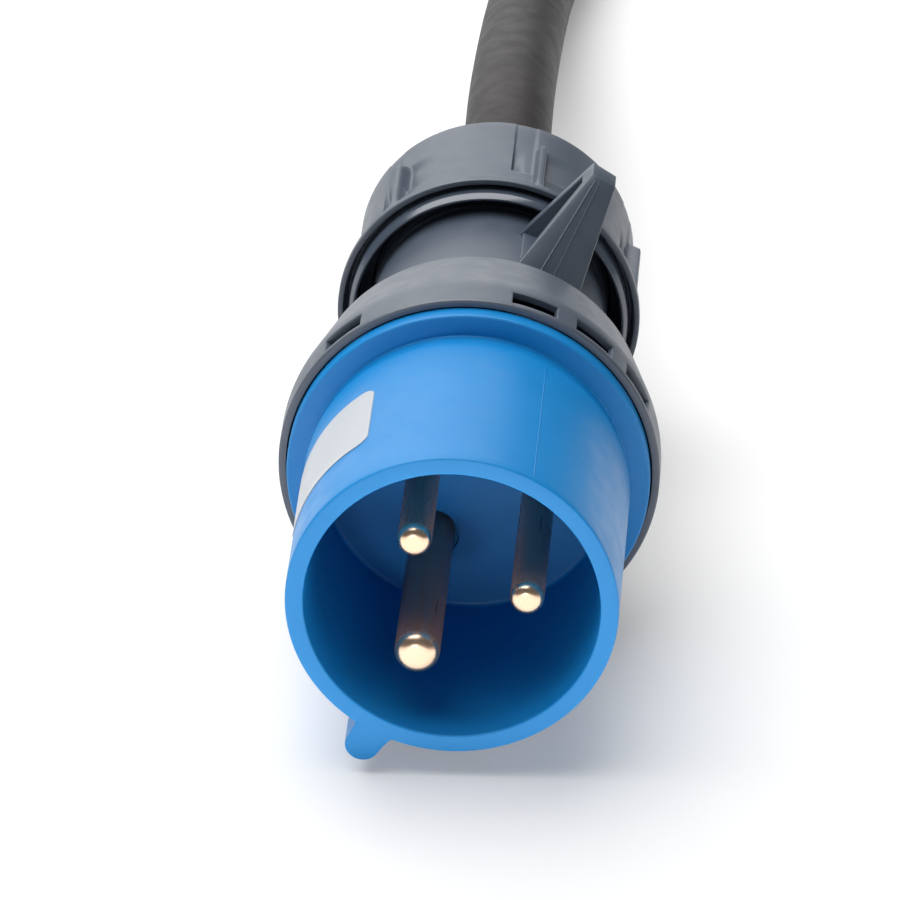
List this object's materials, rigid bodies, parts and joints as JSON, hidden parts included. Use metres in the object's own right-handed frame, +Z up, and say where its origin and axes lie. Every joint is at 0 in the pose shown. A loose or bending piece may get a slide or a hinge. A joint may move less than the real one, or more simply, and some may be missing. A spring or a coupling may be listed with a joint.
{
  "type": "plug adapter",
  "caption": "Round industrial power plug with a blue shroud, brass pins and a grey housing with a screwed cable gland, on a short black rubber lead with a plain in-line connector.",
  "frame": {"origin": "on the floor below the middle of the plug, without its lead", "axes": "+Z up, +Y along the plug's axis from its mating face to its cable, +X to the right seen from the mating face"},
  "size_m": [0.076, 0.5513, 0.068],
  "materials": {
    "blue_plastic": "satin",
    "label_film": "matte",
    "black_rubber": "matte",
    "cable_jacket": "satin",
    "brass": "polished",
    "steel": "satin",
    "grey_plastic": "satin",
    "inner_plastic": "matte",
    "brown_insulation": "satin",
    "blue_insulation": "satin",
    "earth_insulation": "satin"
  },
  "bodies": {
    "plug": {"contact_carrier": "blue_plastic", "label": "label_film", "flange_gasket": "black_rubber", "earth_pin": "brass", "line_pin": "brass", "neutral_pin": "brass", "terminal_screws": "steel", "pin_retainer": "inner_plastic", "retainer_screw": "steel", "wire_ferrules": "steel", "line_core": "brown_insulation", "neutral_core": "blue_insulation", "earth_core": "earth_insulation", "rear_housing": "grey_plastic", "gland_seal": "black_rubber", "clamp_cage": "inner_plastic", "cable": "cable_jacket", "strain_boot": "black_rubber", "connector_housing": "grey_plastic", "connector_insert": "inner_plastic", "ring_clip": "steel", "line_socket": "brass", "neutral_socket": "brass", "earth_socket": "brass", "socket_screws": "steel", "connector_line_core": "brown_insulation", "connector_neutral_core": "blue_insulation", "connector_earth_core": "earth_insulation"},
    "slip_washer": {"slip_washer": "steel"},
    "gland_nut": {"gland_nut": "grey_plastic"},
    "coupling_ring": {"coupling_ring": "grey_plastic"}
  },
  "joints": [
    {"name": "gland_travel", "type": "slide", "parent": "plug", "child": "slip_washer", "axis": [0, 1, 0], "range_m": [0, 0.006]},
    {"name": "gland_turn", "type": "hinge", "parent": "slip_washer", "child": "gland_nut", "pos_m": [0, 0.055, 0.034], "axis": [0, 1, 0], "range_deg": [0, 720]},
    {"name": "coupling_turn", "type": "hinge", "parent": "plug", "child": "coupling_ring", "pos_m": [0.02, 0.47, 0.022], "axis": [0, 1, 0], "range_deg": [0, 60]}
  ],
  "couplings": [
    {"joint": "gland_travel", "follows": "gland_turn", "m_per_rad": 0.00047746}
  ]
}
